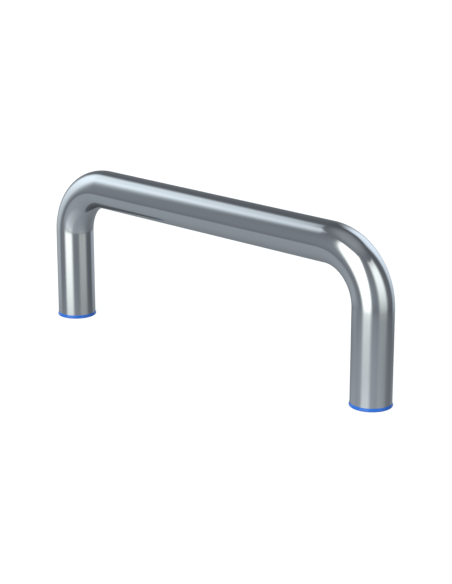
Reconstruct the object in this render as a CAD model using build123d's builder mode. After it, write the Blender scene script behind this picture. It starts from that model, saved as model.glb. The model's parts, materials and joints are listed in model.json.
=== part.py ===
from build123d import *

import os
from math import radians, tan

# Bridge pull handle in hygienic design, for panels and covers that are washed down.
#
# One round stainless bar is bent to a bridge. Each foot has a blind tapped hole, so the handle is
# screwed on from behind its panel and shows no screw. A moulded ring in a groove of each foot
# seals the joint to the panel, and a metal stop in the middle limits how far the ring is squeezed.
#
# Millimetres, +Z up, +X along the grip. The origin lies midway between the feet, on the plane
# that the unloaded sealing rings rest on.

# The bar
bar_diameter = 12.0
hole_spacing = 125.0  # between the axes of the two feet
handle_height = 50.0  # from the panel, which the stops bear on, to the top of the grip
bend_radius = 16.0  # of the bar's centreline

# The blind hole in each foot, for an M6 screw: it is modelled at the tap drill's size
tap_drill_diameter = 5.0
tap_drill_depth = 15.0  # of full diameter, from the stop face
drill_point_angle = 118.0
countersink_diameter = 6.4
countersink_angle = 90.0

# The stop round that hole
seal_squeeze = 0.2  # the unloaded ring stands this far below the stop face
stop_height = 0.9  # from the rim face, which the ring lies against, down to the stop face
stop_edge_break = 0.15

# The groove round the stop, cut up into the rim face
rim_wall = 0.7  # between the groove and the outside of the bar
groove_width = 0.8
groove_depth = 1.5  # above the rim face

# The sealing ring: a lip that flares out below the rim, and a tongue that fills the groove
lip_flare_angle = 15.0  # from the bar's axis
lip_radius = 0.3
tongue_side_clearance = 0.02
tongue_end_clearance = 0.1
tongue_edge_break = 0.15

# What follows from these sizes
bar_radius = bar_diameter / 2
foot_places = {"left": -hole_spacing / 2, "right": hole_spacing / 2}
stop_z = seal_squeeze
rim_z = stop_z + stop_height
groove_end_z = rim_z + groove_depth
grip_z = stop_z + handle_height - bar_radius
groove_outer_radius = bar_radius - rim_wall
stop_radius = groove_outer_radius - groove_width

os.makedirs("parts", exist_ok=True)


def write_piece(piece, name):
    """Label a finished piece, write it as a STEP file, and print its size."""
    piece.label = name
    export_step(piece, f"parts/{name}.step")
    size = piece.bounding_box().size
    print(f"{name}: {size.X:.2f} x {size.Y:.2f} x {size.Z:.2f} mm, {piece.volume:.0f} mm3")


# The bar: one round section swept along the bridge, then turned and drilled at its feet
with BuildPart() as handle_bar:
    with BuildLine(Plane.XZ) as centreline:
        FilletPolyline(
            (foot_places["left"], stop_z),
            (foot_places["left"], grip_z),
            (foot_places["right"], grip_z),
            (foot_places["right"], stop_z),
            radius=bend_radius,
        )
    with BuildSketch(Plane.XY.offset(stop_z)):
        with Locations((foot_places["left"], 0)):
            Circle(bar_radius)
    sweep(path=centreline.line)

    # The step down from the rim face to the stop
    with BuildSketch(Plane.XY.offset(rim_z)):
        with GridLocations(hole_spacing, 0, 2, 1):
            Circle(bar_diameter)
            Circle(stop_radius, mode=Mode.SUBTRACT)
    extrude(amount=-stop_height, mode=Mode.SUBTRACT)
    stop_edges = handle_bar.edges().group_by(Axis.Z)[0]
    chamfer(stop_edges, stop_edge_break)

    # The groove for the sealing ring's tongue
    with BuildSketch(Plane.XY.offset(rim_z)):
        with GridLocations(hole_spacing, 0, 2, 1):
            Circle(groove_outer_radius)
            Circle(stop_radius, mode=Mode.SUBTRACT)
    extrude(amount=groove_depth, mode=Mode.SUBTRACT)

    # The tapped hole: a countersunk mouth, the tap drill's bore and the point that it leaves
    bore_radius = tap_drill_diameter / 2
    point_height = bore_radius / tan(radians(drill_point_angle / 2))
    with Locations(Plane((0, 0, stop_z), z_dir=(0, 0, -1))):
        with GridLocations(hole_spacing, 0, 2, 1):
            CounterSinkHole(
                radius=bore_radius,
                counter_sink_radius=countersink_diameter / 2,
                depth=tap_drill_depth,
                counter_sink_angle=countersink_angle,
            )
    with Locations(Plane.XY.offset(stop_z + tap_drill_depth)):
        with GridLocations(hole_spacing, 0, 2, 1):
            Cone(
                bottom_radius=bore_radius,
                top_radius=0,
                height=point_height,
                align=(Align.CENTER, Align.CENTER, Align.MIN),
                mode=Mode.SUBTRACT,
            )

write_piece(handle_bar.part, "handle_bar")


# The sealing rings: one profile, turned about the axis of each foot
inner_radius = stop_radius + tongue_side_clearance
tongue_outer_radius = groove_outer_radius - tongue_side_clearance
tongue_end_z = groove_end_z - tongue_end_clearance
lip_corner_radius = bar_radius + rim_z * tan(radians(lip_flare_angle))

for side, foot_x in foot_places.items():
    with BuildPart() as seal:
        with BuildSketch(Plane((foot_x, 0, 0), x_dir=(1, 0, 0), z_dir=(0, -1, 0))) as profile:
            with BuildLine():
                Polyline(
                    (inner_radius, stop_z),
                    (groove_outer_radius, 0),
                    (lip_corner_radius, 0),
                    (bar_radius, rim_z),
                    (tongue_outer_radius, rim_z),
                    (tongue_outer_radius, tongue_end_z),
                    (inner_radius, tongue_end_z),
                    close=True,
                )
            make_face()
            lip_corner = profile.vertices().sort_by(Axis.X)[-1]
            fillet(lip_corner, lip_radius)
            tongue_corners = profile.vertices().group_by(Axis.Y)[-1]
            chamfer(tongue_corners, tongue_edge_break)
        revolve(axis=Axis((foot_x, 0, 0), (0, 0, 1)))
    write_piece(seal.part, f"seal_{side}")
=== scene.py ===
# %% [markdown]
# # A bridge pull handle, dressed for the camera
#
# The handle is one round stainless bar, bent twice, with a blue sealing ring under each foot. Its
# construction comes packed as a fixed frame: solids at their real size, in metres, with +X along
# the grip and +Z up from the panel. This notebook adds what the eye needs: a finely divided skin
# with real screw threads in the feet, the finish of steel and rubber, and a small photo studio.

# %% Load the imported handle
import json
from math import cos, pi, radians, sin, tan

import bmesh
import bpy
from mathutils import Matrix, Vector


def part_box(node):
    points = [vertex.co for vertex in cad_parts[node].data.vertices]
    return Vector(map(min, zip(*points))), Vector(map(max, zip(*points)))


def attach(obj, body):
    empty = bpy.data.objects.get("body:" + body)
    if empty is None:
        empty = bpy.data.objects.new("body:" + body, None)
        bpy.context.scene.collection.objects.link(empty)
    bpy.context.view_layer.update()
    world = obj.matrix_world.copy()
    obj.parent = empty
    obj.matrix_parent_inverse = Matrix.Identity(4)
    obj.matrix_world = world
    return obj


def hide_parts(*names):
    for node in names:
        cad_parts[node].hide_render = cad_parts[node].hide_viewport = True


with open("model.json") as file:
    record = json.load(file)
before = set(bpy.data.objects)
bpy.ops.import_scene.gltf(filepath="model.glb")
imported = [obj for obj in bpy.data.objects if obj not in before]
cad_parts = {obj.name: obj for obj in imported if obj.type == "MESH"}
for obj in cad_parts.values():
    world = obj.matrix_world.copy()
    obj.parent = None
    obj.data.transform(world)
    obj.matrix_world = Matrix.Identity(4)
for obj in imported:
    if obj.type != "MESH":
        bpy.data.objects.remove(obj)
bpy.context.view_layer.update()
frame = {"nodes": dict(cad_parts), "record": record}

print("nodes:", sorted(frame["nodes"]))

# %% [markdown]
# ## Sizes that come from the frame
#
# A skin that stands in for a solid has to match it everywhere, so its sizes are read from the
# frame and not typed in again. The bar's box gives its diameter and height. The mounts give the
# axes of the feet and the width of the drilled holes, and the rings' boxes show how far a lip
# stands out. Only what no box shows, such as the radius of the bends, is named here.

# %% Read the feet, the bar and the rings
mm = 0.001
mounts = {mount["name"]: mount for mount in frame["record"]["mounts"]}
right_hole = mounts["screw_hole_right"]
half_spacing = right_hole["pos_m"][0]
bore_radius = right_hole["dims"]["r_mm"] * mm
bore_end_z = right_hole["pos_m"][2] + right_hole["dims"]["length_mm"] * mm / 2
stop_z = mounts["stop_face_right"]["pos_m"][2]

bar_low, bar_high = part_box("handle_bar")
bar_radius = (bar_high.y - bar_low.y) / 2
grip_z = bar_high.z - bar_radius
ring_low, ring_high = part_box("seal_right")
lip_reach = (ring_high.y - ring_low.y) / 2
print(f"bar: radius {bar_radius / mm:.2f} mm, axis of the grip {grip_z / mm:.2f} mm up")
print(f"ring: lip out to {lip_reach / mm:.3f} mm, tongue up to {ring_high.z / mm:.2f} mm")

# %% Name what no box shows
bend_radius = 16 * mm
rim_height = 0.9 * mm  # from the stop face up to the rim face
groove_depth = 1.5 * mm
rim_wall = 0.7 * mm
groove_width = 0.8 * mm
groove_outer_radius = bar_radius - rim_wall
stop_radius = groove_outer_radius - groove_width
stop_edge_break = 0.15 * mm
countersink_radius = 3.2 * mm
drill_point_angle = radians(118)
drill_point_height = bore_radius / tan(drill_point_angle / 2)

# %% [markdown]
# ## A bar that remembers when it was straight
#
# The real handle starts as a straight bar, is bent, and is then turned and drilled at its ends.
# A modifier could sweep a circle along a curve, but then the feet would have to be joined to it by
# Boolean cuts, which leave ragged faces. Here every point of the surface, inside and out, is given
# by three numbers instead: how far along the bar it lies, its distance from the bar's axis, and
# its angle round that axis. One function places such a point on the bent bar. The same numbers
# also say where the point was before bending, and that place is kept for the finish, because
# grinding marks follow a bar round its bends.

# %% Place a point on the bent bar
leg_length = grip_z - bend_radius - stop_z
bend_length = bend_radius * pi / 2
grip_length = 2 * (half_spacing - bend_radius)
bar_length = 2 * (leg_length + bend_length) + grip_length


def on_bar(along, radius, angle):
    """A point of the bar: its length along the axis from the left foot, radius and angle."""
    side = -1 if along < bar_length / 2 else 1
    from_foot = min(along, bar_length - along)
    if from_foot < leg_length:
        centre = Vector((side * half_spacing, 0, stop_z + from_foot))
        outward = Vector((side, 0, 0))
    elif from_foot < leg_length + bend_length:
        turned = (from_foot - leg_length) / bend_radius
        outward = Vector((side * cos(turned), 0, sin(turned)))
        centre = Vector((side * grip_length / 2, 0, grip_z - bend_radius)) + bend_radius * outward
    else:
        centre = Vector((side * (bar_length / 2 - from_foot), 0, grip_z))
        outward = Vector((0, 0, 1))
    return centre + radius * (cos(angle) * outward + sin(angle) * Vector((0, 1, 0)))


print(f"the straight bar is {bar_length / mm:.1f} mm long")

# %% [markdown]
# ## Joining rows into a closed skin
#
# A surface is drawn as rows of points, one row after the other, and each pair of neighbouring rows
# is joined by four-sided faces. Points that fall on the same spot, as at the tip of a drilled hole
# or where a ring closes on itself, are merged afterwards. That keeps one simple rule for every
# shape here, and the result has no gaps, no stray faces and a clean flow of quads.

# %% Helpers that divide a stretch and join rows
merge_distance = 0.0002 * mm
crisp_angle = radians(30)


def divided(start, end, count):
    """Evenly spaced numbers from start to just before end."""
    return [start + (end - start) * i / count for i in range(count)]


def skin(name, rows):
    """A closed mesh from rows of (point, point before bending), with crisp edges kept crisp."""
    mesh = bpy.data.meshes.new(name)
    bm = bmesh.new()
    before_bending = bm.verts.layers.float_vector.new("before_bending")
    grid = []
    for row in rows:
        line = []
        for point, straight_point in row:
            vertex = bm.verts.new(point)
            vertex[before_bending] = straight_point
            line.append(vertex)
        grid.append(line)
    for line, next_line in zip(grid, grid[1:]):
        for i in range(len(line) - 1):
            bm.faces.new((line[i], line[i + 1], next_line[i + 1], next_line[i]))
    bmesh.ops.remove_doubles(bm, verts=bm.verts, dist=merge_distance)
    bmesh.ops.recalc_face_normals(bm, faces=bm.faces)
    bm.to_mesh(mesh)
    bm.free()
    mesh.shade_smooth()
    mesh.set_sharp_from_angle(angle=crisp_angle)
    piece = bpy.data.objects.new(name, mesh)
    bpy.context.scene.collection.objects.link(piece)
    print(f"{name}: {len(mesh.vertices)} points, {len(mesh.polygons)} faces")
    return piece


# %% [markdown]
# ## The screw thread
#
# Each foot is tapped M6, a groove of 60 degrees that climbs 1 mm with each turn. A Screw modifier
# can make one, but its ends stay open. Rows that climb with the groove do better: along such a row
# the thread's section never changes, so a dozen rows to a turn draw its crest, flanks and root
# exactly. Rows that would climb past either end of the hole are held at the end, where they fall
# together and merge. The radius at each point is the widest of three cuts: the tap drill's
# bore, the thread and the countersink.

# %% Cut the thread's section
thread_pitch = 1.0 * mm
thread_radius = 3.0 * mm
thread_length = 12 * mm
thread_runout = 1.5 * thread_pitch  # the tap's lead, where the groove gets shallower
half_root = thread_pitch / 16
flank_angle = radians(60 / 2)
flank_run = (thread_radius - bore_radius) * tan(flank_angle)


def hole_radius(depth, climb):
    """The hole's radius at a depth below the stop face, on the row that climbs from there."""
    from_root = abs(climb % thread_pitch - thread_pitch / 2)
    flank = max(0.0, from_root - half_root) / tan(flank_angle)
    lead = min(1.0, max(0.0, (depth - thread_length) / thread_runout + 1))
    thread = thread_radius - flank - (thread_radius - bore_radius) * lead
    return max(bore_radius, thread, countersink_radius - depth)


crest_edge = thread_pitch / 2 - half_root - flank_run
turn_of_rows = (
    divided(0, crest_edge, 2)
    + divided(crest_edge, crest_edge + flank_run, 3)
    + divided(crest_edge + flank_run, thread_pitch / 2, 1)
)
turn_of_rows += [thread_pitch / 2] + [thread_pitch - climb for climb in turn_of_rows[:0:-1]]
print(f"{len(turn_of_rows)} rows to a turn of thread, {thread_length / thread_pitch:.0f} turns")

# %% [markdown]
# ## The skin of the bar
#
# The skin is one unbroken strip. It starts at the drill point in the left foot, comes down the
# threaded hole, crosses the stop face, dips into the groove that holds the sealing ring, runs over
# the rim, follows the outside of the bar over both bends, and ends in the same way in the right
# foot. Rows lie closer together on the bends, where reflections in polished metal would show
# every corner.

# %% Draw the rows of one foot, from the tip of its hole to the rim
bar_facets = 128
angles = divided(0, 2 * pi, bar_facets) + [2 * pi]


def bar_row(along, radius):
    """A ring of the bar, whose length along and radius may be numbers or functions of the angle."""
    row = []
    for angle in angles:
        here = along(angle) if callable(along) else along
        width = radius(angle) if callable(radius) else radius
        straight_point = (width * cos(angle), width * sin(angle), here)
        row.append((on_bar(here, width, angle), straight_point))
    return row


def foot_rows(side):
    """The rows inside and under a foot; side is -1 for the left foot and 1 for the right."""
    hole_depth = bore_end_z - stop_z
    groove_end = rim_height + groove_depth

    def along(depth):
        return depth if side < 0 else bar_length - depth

    rows = [bar_row(along(hole_depth + drill_point_height), 0)]
    rows += [bar_row(along(hole_depth + drill_point_height * (1 - share)), bore_radius * share)
             for share in (0.25, 0.5, 0.75)]
    # One turn more at either end, because a row climbs by a whole pitch round the hole
    turns = range(int(hole_depth / thread_pitch) + 1, -2, -1)
    for climb in [turn * thread_pitch + step for turn in turns for step in reversed(turn_of_rows)]:

        def depth(angle, climb=climb):
            return min(hole_depth, max(0.0, climb + side * thread_pitch * angle / (2 * pi)))

        rows.append(bar_row(
            lambda angle, depth=depth: along(depth(angle)),
            lambda angle, depth=depth: hole_radius(
                depth(angle), depth(angle) - side * thread_pitch * angle / (2 * pi)),
        ))
    rows += [bar_row(along(depth), radius) for depth, radius in (
        (0, stop_radius - stop_edge_break),
        (stop_edge_break, stop_radius),
        (groove_end, stop_radius),
        (groove_end, groove_outer_radius),
        (rim_height, groove_outer_radius),
    )]
    return rows


# %% Join the feet, the legs, the bends and the grip
leg_rows = 12
bend_rows = 48
grip_rows = 32
grip_start = leg_length + bend_length
grip_end = bar_length - leg_length - bend_length
outside = (
    divided(rim_height, leg_length, leg_rows)
    + divided(leg_length, grip_start, bend_rows)
    + divided(grip_start, grip_end, grip_rows)
    + divided(grip_end, bar_length - leg_length, bend_rows)
    + divided(bar_length - leg_length, bar_length - rim_height, leg_rows)
    + [bar_length - rim_height]
)
bar_rows = foot_rows(-1)
bar_rows += [bar_row(along, bar_radius) for along in outside]
bar_rows += reversed(foot_rows(1))
bent_bar = skin("bent_bar", bar_rows)

# %% [markdown]
# ## The sealing rings
#
# A sealing ring is moulded in one piece. Its lip flares out below the bar's rim and is rounded at
# its widest, so that dirt finds no ledge, and its tongue grips the groove. The ring is a lathed
# form: a closed outline turned once round the foot's axis. The lip's rounding meets the flank and
# the flat underside without an edge.

# %% Outline the ring and turn it
lip_radius = 0.3 * mm
lip_flare = radians(15)
lip_steps = 12
tongue_clearance = 0.02 * mm
tongue_edge_break = 0.15 * mm
ring_facets = 192


def ring_outline():
    """The ring's section as (radius, height) points, from the stop round the lip to the tongue."""
    inner = stop_radius + tongue_clearance
    outer = groove_outer_radius - tongue_clearance
    rim_z = stop_z + rim_height
    outline = [(inner, stop_z), (groove_outer_radius, ring_low.z)]
    lip_centre_radius = lip_reach - lip_radius
    for turned in divided(-pi / 2, lip_flare, lip_steps) + [lip_flare]:
        outline.append((lip_centre_radius + lip_radius * cos(turned),
                        ring_low.z + lip_radius * (1 + sin(turned))))
    outline += [(bar_radius, rim_z), (outer, rim_z), (outer, ring_high.z - tongue_edge_break)]
    outline += [(outer - tongue_edge_break, ring_high.z), (inner + tongue_edge_break, ring_high.z)]
    outline += [(inner, ring_high.z - tongue_edge_break), (inner, stop_z)]
    return outline


def sealing_ring(name, foot_x):
    """The ring round the foot that stands at foot_x."""
    rows = []
    for radius, height in ring_outline():
        row = []
        for angle in divided(0, 2 * pi, ring_facets) + [2 * pi]:
            point = Vector((foot_x + radius * cos(angle), radius * sin(angle), height))
            row.append((point, point))
        rows.append(row)
    return skin(name, rows)


rings = {
    "seal_left": sealing_ring("sealing_ring_left", -half_spacing),
    "seal_right": sealing_ring("sealing_ring_right", half_spacing),
}

# %% [markdown]
# ## Shader maths as Python
#
# Blender's materials are graphs of nodes. Drawn by hand they tangle quickly, and written node by
# node they are hard to read, so this small class lets an output socket take part in an ordinary
# Python expression. Each operator adds its Math node, or its Vector Math node where a colour or a
# vector takes part. Every other node comes from one method, which gets the node's settings
# first and then what goes into its sockets.

# %% Wrap sockets, and add nodes
class Wire:
    """An output socket that can be used in a Python expression."""

    def __init__(self, graph, socket):
        self.graph = graph
        self.socket = socket

    def __add__(self, other):
        return self.graph.maths("ADD", self, other)

    def __sub__(self, other):
        return self.graph.maths("SUBTRACT", self, other)

    def __rsub__(self, other):
        return self.graph.maths("SUBTRACT", other, self)

    def __mul__(self, other):
        return self.graph.maths("MULTIPLY", self, other)

    def __truediv__(self, other):
        return self.graph.maths("DIVIDE", self, other)

    __radd__ = __add__
    __rmul__ = __mul__


class Graph:
    """A node tree that starts empty, and one method that adds a node to it."""

    def __init__(self, tree):
        self.tree = tree
        tree.nodes.clear()

    def add(self, kind, settings=None, sockets=None, output=0):
        """Add a node, set it up, fill its sockets, and return one of its outputs."""
        node = self.tree.nodes.new(kind)
        for name, value in (settings or {}).items():
            setattr(node, name, value)
        for key, value in (sockets or {}).items():
            socket = node.inputs[key]
            if isinstance(value, Wire):
                self.tree.links.new(value.socket, socket)
            elif socket.type == "RGBA":
                socket.default_value = (*value, 1.0)
            else:
                socket.default_value = value
        return Wire(self, node.outputs[output]) if node.outputs else node

    def maths(self, operation, left, right=0.0):
        """A Math node, or a Vector Math node where either side is a vector or a colour."""
        sides = [left, right]
        kinds = [side.socket.type if isinstance(side, Wire) else type(side) for side in sides]
        if any(kind in ("VECTOR", "RGBA", tuple) for kind in kinds):
            sides = [
                (side,) * 3 if kind in (int, float) else side for side, kind in zip(sides, kinds)
            ]
            node = "ShaderNodeVectorMath"
        else:
            node = "ShaderNodeMath"
        return self.add(node, {"operation": operation}, dict(enumerate(sides)))

    def split(self, vector):
        """The three parts of a vector."""
        node = self.add("ShaderNodeSeparateXYZ", sockets={0: vector}).socket.node
        return [Wire(self, socket) for socket in node.outputs]

    def fade(self, value, start, end, low=0.0, high=1.0):
        """Low up to start, high from end on, and a smooth change between."""
        return self.add(
            "ShaderNodeMapRange", {"interpolation_type": "SMOOTHSTEP"},
            {"Value": value, "From Min": start, "From Max": end, "To Min": low, "To Max": high},
        )

    def mix(self, share, colour, other):
        """A colour that goes from the first to the other as share goes from 0 to 1."""
        return self.add(
            "ShaderNodeMix", {"data_type": "RGBA"}, {0: share, 6: colour, 7: other}, output=2
        )


# %% [markdown]
# ## Polished stainless steel
#
# Steel for washed-down machines is ground and then polished, because a smooth surface holds no
# dirt. It still isn't a perfect mirror. The polishing belt leaves faint lines along the bar, and
# the polish is a little uneven from place to place. Both come from noise that is read where
# each point lay before bending, stretched along the bar, so that the lines follow the bends. The
# feet are turned and not polished, so under the rim the lines give way to fine rings.

# %% Make the steel
line_width = 0.25 * mm
line_stretch = 0.02  # along the bar; smaller is longer
patch_width = 5 * mm
patch_stretch = 0.35
turning_feed = 0.12 * mm  # from one turning mark to the next
mark_depth = 0.002 * mm
polish_starts = (0.985 * bar_radius, 0.995 * bar_radius)  # from the bar's axis
steel_tints = (0.445, 0.450, 0.455), (0.475, 0.480, 0.485)


def polished_steel():
    """The bar's material: polished outside, with turning marks where the feet are cut."""
    material = bpy.data.materials.new("polished_steel")
    material.use_nodes = True
    graph = Graph(material.node_tree)
    place = graph.add("ShaderNodeAttribute", {"attribute_name": "before_bending"}, output="Vector")
    across, sideways, along = graph.split(place)
    from_axis = graph.maths("SQRT", across * across + sideways * sideways)
    turned = 1 - graph.fade(from_axis, *polish_starts)

    lines = graph.add(
        "ShaderNodeTexNoise",
        sockets={"Vector": place * (1, 1, line_stretch), "Scale": 1 / line_width, "Detail": 3},
    )
    patches = graph.add(
        "ShaderNodeTexNoise",
        sockets={"Vector": place * (1, 1, patch_stretch), "Scale": 1 / patch_width, "Detail": 4},
    )
    marks = graph.maths("SINE", (from_axis + along) * (2 * pi / turning_feed)) * 0.5 + 0.5
    height = lines * (1 - turned) + marks * turned

    shade = graph.mix(patches, *steel_tints)
    roughness = 0.10 + patches * 0.04 + lines * 0.02 + turned * 0.12
    bump = graph.add(
        "ShaderNodeBump", sockets={"Strength": 0.25, "Distance": mark_depth, "Height": height}
    )
    surface = graph.add(
        "ShaderNodeBsdfPrincipled",
        sockets={"Base Color": shade, "Metallic": 1.0, "Roughness": roughness, "Normal": bump},
    )
    graph.add("ShaderNodeOutputMaterial", sockets={"Surface": surface})
    return material


# %% [markdown]
# ## Blue moulded rubber
#
# Seals for food machines are blue, because nothing that people eat is. The mould gives the rubber
# a smooth, slightly glossy face. Real rubber shows a faint unevenness in its gloss and tiny
# dimples, so both are added at a scale that only a close look finds.

# %% Make the rubber
grain_width = 0.12 * mm
cloud_width = 2.5 * mm
grain_depth = 0.003 * mm
rubber_tints = (0.012, 0.100, 0.430), (0.016, 0.116, 0.480)


def blue_rubber():
    """The rings' material: deep blue, a little glossy, with a fine grain."""
    material = bpy.data.materials.new("blue_rubber")
    material.use_nodes = True
    graph = Graph(material.node_tree)
    place = graph.add("ShaderNodeTexCoord", output="Object")
    grain = graph.add(
        "ShaderNodeTexNoise", sockets={"Vector": place, "Scale": 1 / grain_width, "Detail": 3}
    )
    clouds = graph.add(
        "ShaderNodeTexNoise", sockets={"Vector": place, "Scale": 1 / cloud_width, "Detail": 3}
    )
    shade = graph.mix(clouds, *rubber_tints)
    roughness = 0.30 + clouds * 0.08 + grain * 0.04
    bump = graph.add(
        "ShaderNodeBump", sockets={"Strength": 0.3, "Distance": grain_depth, "Height": grain}
    )
    surface = graph.add(
        "ShaderNodeBsdfPrincipled",
        sockets={"Base Color": shade, "Roughness": roughness, "Normal": bump,
                 "Specular IOR Level": 0.27},
    )
    graph.add("ShaderNodeOutputMaterial", sockets={"Surface": surface})
    return material


# %% [markdown]
# ## Handing the pieces over
#
# Each dressed piece takes the place of the solid that it was drawn from, and rides on the same
# rigid body. Steel and rubber are made once each, and both rings share the rubber.

# %% Dress the pieces and hand them to the frame
bent_bar.data.materials.append(polished_steel())
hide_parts("handle_bar")
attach(bent_bar, "root")

rubber = blue_rubber()
for node, ring in rings.items():
    ring.data.materials.append(rubber)
    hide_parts(node)
    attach(ring, "root")
print("dressed:", bent_bar.name, *(ring.name for ring in rings.values()))

# %% [markdown]
# ## A studio of four windows
#
# Polished metal shows nothing but its surroundings, so they matter more than any lamp. This
# studio is a grey room with a tall, soft window in each wall, and a floor that gleams below the
# windows. Area lamps would give hard-edged boxes, and a picture of a real room would need an image
# file. Instead the sky around the handle is painted by formula: direction becomes azimuth and
# elevation, and each window is a bright patch with soft edges. All heights below are elevations,
# and all widths angles, in degrees. The camera itself sees plain white in place of the room.

# %% Name the studio's light
steel_reflects = 0.46  # the share of light that comes back; the tints below are what it shows
window_azimuths = {"left": -99, "back": -5.5, "right": 85, "front": 173.5}  # from +Y towards +X
window_tints = {
    "left": (0.78, 0.87, 0.94),
    "back": (0.68, 0.77, 0.865),
    "right": (0.90, 0.965, 0.96),
    "front": (2.55, 2.68, 2.62),
}
window_sides = (12, 33)  # off its azimuth, between which a window fades out
window_foot = (-18, -16)  # between which it begins
window_head = (50, 51.5)  # between which it ends
pane_brightens = (-50, 31)
pane_dims = (37, 50, 1, 0.69)  # down to a share of 0.69 at the top

front_azimuth = 171  # the side from which the room is brightest
wall_tint = (0.089, 0.098, 0.110)
wall_glow = 1.04  # how much brighter it is in front than at the back
wall_dims = (9, 52, 1, 0.78)
wall_foot_brightens = (-18, 0, 0.82, 1)
ceiling_tint = (0.205, 0.224, 0.242)
ceiling_glow = 0.77
ceiling_brightens = (53, 82)
floor_tint = (0.100, 0.111, 0.122)
floor_glow = 1.9
gleam = {"left": 0.02, "back": 0.02, "right": 0.02, "front": 0.027}  # of a window on the floor
gleam_power = 1.6  # how quickly it grows towards the window
floor_meets_walls = (-18.5, -16.5)
walls_meet_ceiling = (48, 54)
second_reflection = 0.6  # the share left of light that the handle reflects twice


# %% Paint the room
def studio_world():
    """The world: the room of four windows for reflections and light, plain white for the camera."""
    world = bpy.data.worlds.new("studio")
    world.use_nodes = True
    graph = Graph(world.node_tree)
    direction = graph.add("ShaderNodeTexCoord", output="Generated")
    x, y, z = graph.split(direction)
    to_degrees = 180 / pi
    elevation = graph.maths("ARCSINE", z) * to_degrees
    level = graph.maths("SQRT", x * x + y * y) + 1e-6

    def towards(azimuth):
        """The cosine, as seen from above, of the angle between the direction and an azimuth."""
        # Kept just short of 1, so that it always has an arccosine
        return (x * sin(radians(azimuth)) + y * cos(radians(azimuth))) / level * 0.99999

    front = towards(front_azimuth) * 0.5 + 0.5
    walls = wall_tint * (1 + wall_glow * front)
    walls = walls * (graph.fade(elevation, *wall_dims) * graph.fade(elevation, *wall_foot_brightens))
    ceiling = ceiling_tint * (1 + ceiling_glow * level * front)
    ceiling = graph.mix(graph.fade(elevation, *ceiling_brightens), walls, ceiling)
    ground = floor_tint * (1 + floor_glow * (level * (front - 0.5) + 0.5))
    room = graph.mix(graph.fade(elevation, *floor_meets_walls), ground, walls)
    room = graph.mix(graph.fade(elevation, *walls_meet_ceiling), room, ceiling)

    standing = graph.fade(elevation, *window_foot) * graph.fade(elevation, *window_head, 1, 0)
    pane_lit = graph.fade(elevation, *pane_brightens) * graph.fade(elevation, *pane_dims)
    below = graph.fade(elevation, window_foot[0] - 3, window_foot[0], 1, 0)
    far = graph.maths("POWER", level / graph.maths("MAXIMUM", 0.2, 0 - z), gleam_power)
    for name, azimuth in window_azimuths.items():
        off = graph.maths("ARCCOSINE", towards(azimuth)) * to_degrees
        inside = graph.fade(off, *window_sides, 1, 0)
        room = graph.mix(inside * standing, room, window_tints[name] * pane_lit)
        room = room + window_tints[name] * (inside * below * far * gleam[name])

    # In a world, Ray Depth reads 2 for light that was reflected once, and 3 for twice
    bounces = graph.add("ShaderNodeLightPath", output="Ray Depth")
    seen = room * (graph.fade(bounces, 2, 3, 1, second_reflection) / steel_reflects)
    studio = graph.add("ShaderNodeBackground", sockets={"Color": seen})
    plain = graph.add("ShaderNodeBackground", sockets={"Color": (1, 1, 1)})
    by_camera = graph.add("ShaderNodeLightPath", output="Is Camera Ray")
    both = graph.add("ShaderNodeMixShader", sockets={0: by_camera, 1: studio, 2: plain})
    graph.add("ShaderNodeOutputWorld", sockets={"Surface": both})
    return world


bpy.context.scene.world = studio_world()
bpy.context.scene.view_settings.view_transform = "Standard"
print("windows, in degrees from +Y towards +X:", window_azimuths)

# %% [markdown]
# ## A pale floor
#
# The handle stands on a plain floor, so pale that it runs into the background. It glows by itself
# and takes a little light from the studio, so only a faint shadow gathers at the feet. It neither
# lights nor shades the handle and doesn't show in the steel, because the painted room has a floor
# of its own. Seen from below it is clear, which leaves the undersides of the feet in view.

# %% Lay the floor
half_side = 3.0
floor_z = ring_low.z - 0.02 * mm
floor_glows = (0.92, 0.92, 0.92)
floor_reflects = (0.15, 0.15, 0.15)


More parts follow.
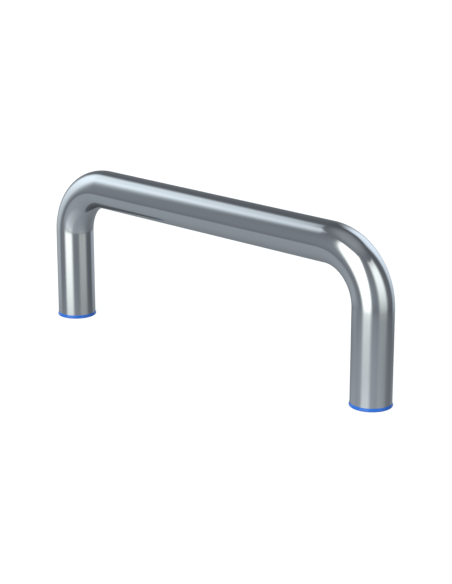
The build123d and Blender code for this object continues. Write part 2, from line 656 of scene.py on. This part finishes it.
def pale_floor():
    """A large square just under the rings."""
    mesh = bpy.data.meshes.new("floor")
    corners = [(x, y, floor_z) for x, y in ((-1, -1), (1, -1), (1, 1), (-1, 1))]
    mesh.from_pydata([(x * half_side, y * half_side, z) for x, y, z in corners], [], [(0, 1, 2, 3)])
    floor = bpy.data.objects.new("floor", mesh)
    bpy.context.scene.collection.objects.link(floor)
    material = bpy.data.materials.new("pale_floor")
    material.use_nodes = True
    graph = Graph(material.node_tree)
    glow = graph.add("ShaderNodeEmission", sockets={"Color": floor_glows})
    matte = graph.add("ShaderNodeBsdfDiffuse", sockets={"Color": floor_reflects})
    upper = graph.add("ShaderNodeAddShader", sockets={0: glow, 1: matte})
    clear = graph.add("ShaderNodeBsdfTransparent")
    from_below = graph.add("ShaderNodeNewGeometry", output="Backfacing")
    either = graph.add("ShaderNodeMixShader", sockets={0: from_below, 1: upper, 2: clear})
    graph.add("ShaderNodeOutputMaterial", sockets={"Surface": either})
    mesh.materials.append(material)
    floor.visible_glossy = False
    floor.visible_diffuse = False
    floor.visible_shadow = False
    return floor


pale_floor()

# %% [markdown]
# ## The camera
#
# A long lens from in front and to the right, a little above the handle, looks down the length of
# the grip. The camera is placed by where it aims, its azimuth and elevation, and its distance.

# %% Place the camera
def camera_at(aim, azimuth, elevation, distance, focal_length):
    """A camera that looks at aim; azimuth 0 is in front of the handle and 90 degrees its right."""
    back = Vector((sin(azimuth) * cos(elevation), -cos(azimuth) * cos(elevation), sin(elevation)))
    data = bpy.data.cameras.new("camera")
    data.lens = focal_length
    data.sensor_width = 36
    camera = bpy.data.objects.new("camera", data)
    camera.location = aim + back * distance
    camera.rotation_euler = back.to_track_quat("Z", "Y").to_euler()
    bpy.context.scene.collection.objects.link(camera)
    return camera


bpy.context.scene.camera = camera_at(
    aim=Vector((5.99 * mm, 0, stop_z + rim_height + 20.25 * mm)),
    azimuth=radians(44.28),
    elevation=radians(16.33),
    distance=497.6 * mm,
    focal_length=102.73,
)
print("camera at", tuple(round(value, 4) for value in bpy.context.scene.camera.location))
